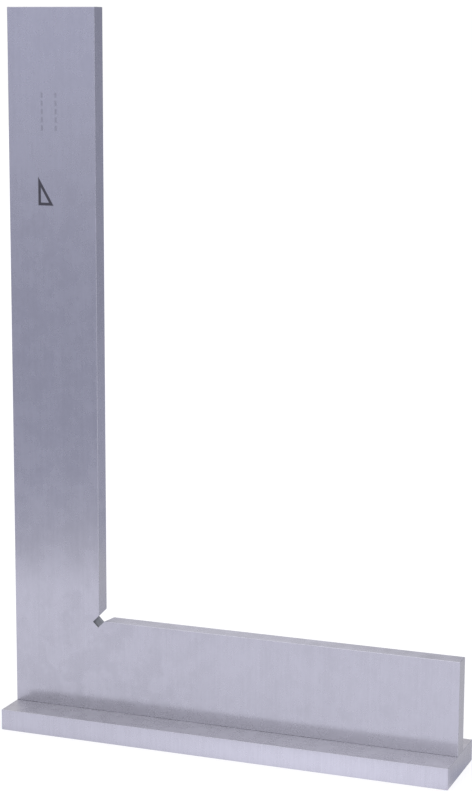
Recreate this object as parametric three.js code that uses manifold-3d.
// Machinist's stop square, 300 x 200 mm: a one-piece L of ground steel plate that stands on edge
// on a wider flat stop rail. Countersunk screws and dowel pins come up through the rail into the
// lower edge of the plate.
//
// Millimetres, +Z up. The origin is the middle of the rail's underside. The upright blade is at
// the -X end, the leg runs along +X, and the plate's two broad faces look along -Y and +Y.
import * as THREE from "three";
import { mergeVertices } from "three/addons/utils/BufferGeometryUtils.js";
import Module from "manifold-3d";

// Driving dimensions
const PLATE_HEIGHT = 300; // the long side of the L, from the top of the rail
const PLATE_LENGTH = 200; // the short side of the L, also the rail's length
const ARM_WIDTH = 40; // of the blade and of the leg
const PLATE_THICKNESS = 8;
const RAIL_WIDTH = 38;
const RAIL_THICKNESS = 9;
const EDGE_BREAK = 0.4; // 45 degree chamfer on every outer edge
const RELIEF_FRONT = 3.2; // width on the front face of the 45 degree slot in the inner corner
const RELIEF_BACK = 5; // its width on the back face: its walls taper
const RELIEF_DEPTH = 2.6; // its flat bottom, past the point where the inner edges meet

const FASTENER_PITCH = 28; // screws and dowels alternate along the rail at this pitch
const SCREW_STEPS = [-3, -1, 1, 3]; // screw places, in pitches from the middle
const DOWEL_STEPS = [-2, 2];

const SCREW_LENGTH = 20; // M4 countersunk socket screw, 90 degree head
const SCREW_RADIUS = 2;
const SCREW_HEAD_RADIUS = 3.8;
const SCREW_HEAD_RIM = 0.2; // straight edge round the head
const SCREW_SINK = 0.3; // how far the head lies inside the rail's underside
const SCREW_TIP = 0.5; // chamfer at the tip
const SOCKET_ACROSS_FLATS = 2.5;
const SOCKET_DEPTH = 1.5;
const SCREW_PASSAGE_RADIUS = 2.25; // clearance hole in the rail

const DOWEL_RADIUS = 2;
const DOWEL_LENGTH = 20;
const DOWEL_SINK = 0.5;
const DOWEL_LEAD = 0.5; // chamfer at each end

const FIT_GAP = 0.1; // radial gap round a screw or a dowel
const BLIND_HOLE_TOP = 22; // height at which the holes in the plate end, before the drill point
const DRILL_POINT = 59; // half angle of the drill point, in degrees
const ROUND_SEGMENTS = 24;
const PAST = 1; // how far a cutting tool runs past the surface that it cuts
const SNAP = 1e-4; // vertices lie on this grid, so that faces meant to be level with each other are

const steel = (color, roughness) => new THREE.MeshStandardMaterial({ color, roughness, metalness: 1 });
const plateSteel = steel(0x9c9daf, 0.3);
const railSteel = steel(0xb4b3c3, 0.32);
const screwSteel = steel(0x2f3034, 0.45);
const dowelSteel = steel(0xc4c6cc, 0.2);

const wasm = await Module();
wasm.setup();

// A closed three.js geometry as a solid for joining and cutting.
function solidOf(geometry) {
  const bare = geometry.clone();
  bare.deleteAttribute("normal");
  bare.deleteAttribute("uv");
  const merged = mergeVertices(bare, SNAP);
  const mesh = new wasm.Mesh({
    numProp: 3,
    vertProperties: merged.attributes.position.array.map((value) => Math.round(value / SNAP) * SNAP),
    triVerts: new Uint32Array(merged.index.array),
  });
  return new wasm.Manifold(mesh);
}

function geometryOf(solid) {
  const { vertProperties, triVerts } = solid.getMesh();
  const geometry = new THREE.BufferGeometry();
  geometry.setAttribute("position", new THREE.BufferAttribute(vertProperties, 3));
  geometry.setIndex(new THREE.BufferAttribute(triVerts, 1));
  geometry.computeVertexNormals();
  return geometry;
}

function pieceOf(name, solid, material) {
  const mesh = new THREE.Mesh(geometryOf(solid), material);
  mesh.name = name;
  return mesh;
}

// A closed outline [x, y] extruded upwards from z = 0, with both rims chamfered by EDGE_BREAK.
function chamferedSlab(outline, thickness) {
  const shape = new THREE.Shape(outline.map(([x, y]) => new THREE.Vector2(x, y)));
  return new THREE.ExtrudeGeometry(shape, {
    depth: thickness - 2 * EDGE_BREAK,
    bevelSize: EDGE_BREAK,
    bevelThickness: EDGE_BREAK,
    bevelOffset: -EDGE_BREAK,
    bevelSegments: 1,
  }).translate(0, 0, EDGE_BREAK);
}

// A solid turned about the Z axis from a profile of [radius, height] that runs upwards.
function turned(profile) {
  const points = profile.map(([radius, height]) => new THREE.Vector2(radius, height));
  return solidOf(new THREE.LatheGeometry(points, ROUND_SEGMENTS).rotateX(Math.PI / 2));
}

const alongRail = (steps) => steps.map((step) => step * FASTENER_PITCH);
const screwPlaces = alongRail(SCREW_STEPS);
const dowelPlaces = alongRail(DOWEL_STEPS);

// The same cutting tool taken away from a solid at each place along the rail.
function bored(solid, tool, places) {
  return places.reduce((rest, x) => rest.subtract(tool.translate([x, 0, 0])), solid);
}

// The tool that cuts the relief slot into the inner corner at (x, z), along the corner's diagonal.
function reliefTool(x, z) {
  const reach = RELIEF_BACK / 2 + PAST; // out through the corner, past the slot's lips
  const points = [-1, 1].flatMap((side) => {
    const y = side * (PLATE_THICKNESS / 2 + PAST);
    const share = y / PLATE_THICKNESS + 0.5; // 0 on the front face, 1 on the back face
    const half = THREE.MathUtils.lerp(RELIEF_FRONT, RELIEF_BACK, share) / 2;
    return [-half, half].flatMap((across) =>
      [-RELIEF_DEPTH, reach].map((out) => [
        x + (out - across) / Math.SQRT2,
        y,
        z + (out + across) / Math.SQRT2,
      ]),
    );
  });
  return wasm.Manifold.hull(points);
}

// The L-shaped plate: blade and leg in one piece, with the relief slot in the inner corner.
function plateSolid() {
  const left = -PLATE_LENGTH / 2;
  const right = PLATE_LENGTH / 2;
  const inner = left + ARM_WIDTH;
  const legTop = RAIL_THICKNESS + ARM_WIDTH;
  const top = RAIL_THICKNESS + PLATE_HEIGHT;

  const outline = [
    [left, RAIL_THICKNESS],
    [right, RAIL_THICKNESS],
    [right, legTop - EDGE_BREAK],
    [right - EDGE_BREAK, legTop],
    [inner, legTop],
    [inner, top - EDGE_BREAK],
    [inner - EDGE_BREAK, top],
    [left + EDGE_BREAK, top],
    [left, top - EDGE_BREAK],
  ];
  const slab = chamferedSlab(outline, PLATE_THICKNESS);
  slab.rotateX(Math.PI / 2).translate(0, PLATE_THICKNESS / 2, 0);
  const relieved = solidOf(slab).subtract(reliefTool(inner, legTop));

  const holeRadius = SCREW_RADIUS + FIT_GAP;
  const point = holeRadius / Math.tan(THREE.MathUtils.degToRad(DRILL_POINT));
  const blindHole = turned([
    [0, RAIL_THICKNESS - PAST],
    [holeRadius, RAIL_THICKNESS - PAST],
    [holeRadius, BLIND_HOLE_TOP],
    [0, BLIND_HOLE_TOP + point],
  ]);
  return bored(relieved, blindHole, [...screwPlaces, ...dowelPlaces]);
}

// The flat stop rail, with countersunk screw holes and dowel holes from below. Its upper end
// edges stay square under the plate, because both pieces are ground flush there.
function railSolid() {
  const x = PLATE_LENGTH / 2;
  const y = RAIL_WIDTH / 2;
  const outline = [
    [-x + EDGE_BREAK, -y],
    [x - EDGE_BREAK, -y],
    [x, -y + EDGE_BREAK],
    [x, y - EDGE_BREAK],
    [x - EDGE_BREAK, y],
    [-x + EDGE_BREAK, y],
    [-x, y - EDGE_BREAK],
    [-x, -y + EDGE_BREAK],
  ];
  const bar = solidOf(chamferedSlab(outline, RAIL_THICKNESS));
  const land = solidOf(new THREE.BoxGeometry(2 * EDGE_BREAK, PLATE_THICKNESS, 2 * EDGE_BREAK));
  const landed = [-1, 1].reduce(
    (rest, end) => rest.add(land.translate([end * (x - EDGE_BREAK), 0, RAIL_THICKNESS - EDGE_BREAK])),
    bar,
  );

  const rim = SCREW_SINK + SCREW_HEAD_RIM;
  const coneRadius = (height) => SCREW_HEAD_RADIUS + rim - height + FIT_GAP * Math.SQRT2;
  const countersinkTop = coneRadius(0) - SCREW_PASSAGE_RADIUS;
  const screwHole = turned([
    [0, -PAST],
    [coneRadius(-PAST), -PAST],
    [SCREW_PASSAGE_RADIUS, countersinkTop],
    [SCREW_PASSAGE_RADIUS, RAIL_THICKNESS + PAST],
    [0, RAIL_THICKNESS + PAST],
  ]);
  const dowelHole = turned([
    [0, -PAST],
    [DOWEL_RADIUS + FIT_GAP, -PAST],
    [DOWEL_RADIUS + FIT_GAP, RAIL_THICKNESS + PAST],
    [0, RAIL_THICKNESS + PAST],
  ]);
  return bored(bored(landed, screwHole, screwPlaces), dowelHole, dowelPlaces);
}

// A countersunk screw, head down, with its hexagon socket open below.
function screwSolid() {
  const rim = SCREW_SINK + SCREW_HEAD_RIM;
  const tip = SCREW_SINK + SCREW_LENGTH;
  const body = turned([
    [0, SCREW_SINK],
    [SCREW_HEAD_RADIUS, SCREW_SINK],
    [SCREW_HEAD_RADIUS, rim],
    [SCREW_RADIUS, rim + SCREW_HEAD_RADIUS - SCREW_RADIUS],
    [SCREW_RADIUS, tip - SCREW_TIP],
    [SCREW_RADIUS - SCREW_TIP, tip],
    [0, tip],
  ]);
  const cornerRadius = SOCKET_ACROSS_FLATS / Math.sqrt(3);
  const socket = new THREE.CylinderGeometry(cornerRadius, cornerRadius, SOCKET_DEPTH + PAST, 6);
  socket.rotateX(Math.PI / 2).translate(0, 0, SCREW_SINK + (SOCKET_DEPTH - PAST) / 2);
  return body.subtract(solidOf(socket));
}

function dowelSolid() {
  const top = DOWEL_SINK + DOWEL_LENGTH;
  return turned([
    [0, DOWEL_SINK],
    [DOWEL_RADIUS - DOWEL_LEAD, DOWEL_SINK],
    [DOWEL_RADIUS, DOWEL_SINK + DOWEL_LEAD],
    [DOWEL_RADIUS, top - DOWEL_LEAD],
    [DOWEL_RADIUS - DOWEL_LEAD, top],
    [0, top],
  ]);
}

const square = new THREE.Group();
square.add(pieceOf("blade_plate", plateSolid(), plateSteel));
square.add(pieceOf("stop_rail", railSolid(), railSteel));

const screw = screwSolid();
screwPlaces.forEach((x, i) => {
  const piece = pieceOf(`countersunk_screw_${i + 1}`, screw, screwSteel);
  piece.position.x = x;
  square.add(piece);
});

const dowel = dowelSolid();
dowelPlaces.forEach((x, i) => {
  const piece = pieceOf(`dowel_pin_${i + 1}`, dowel, dowelSteel);
  piece.position.x = x;
  square.add(piece);
});

export default square;
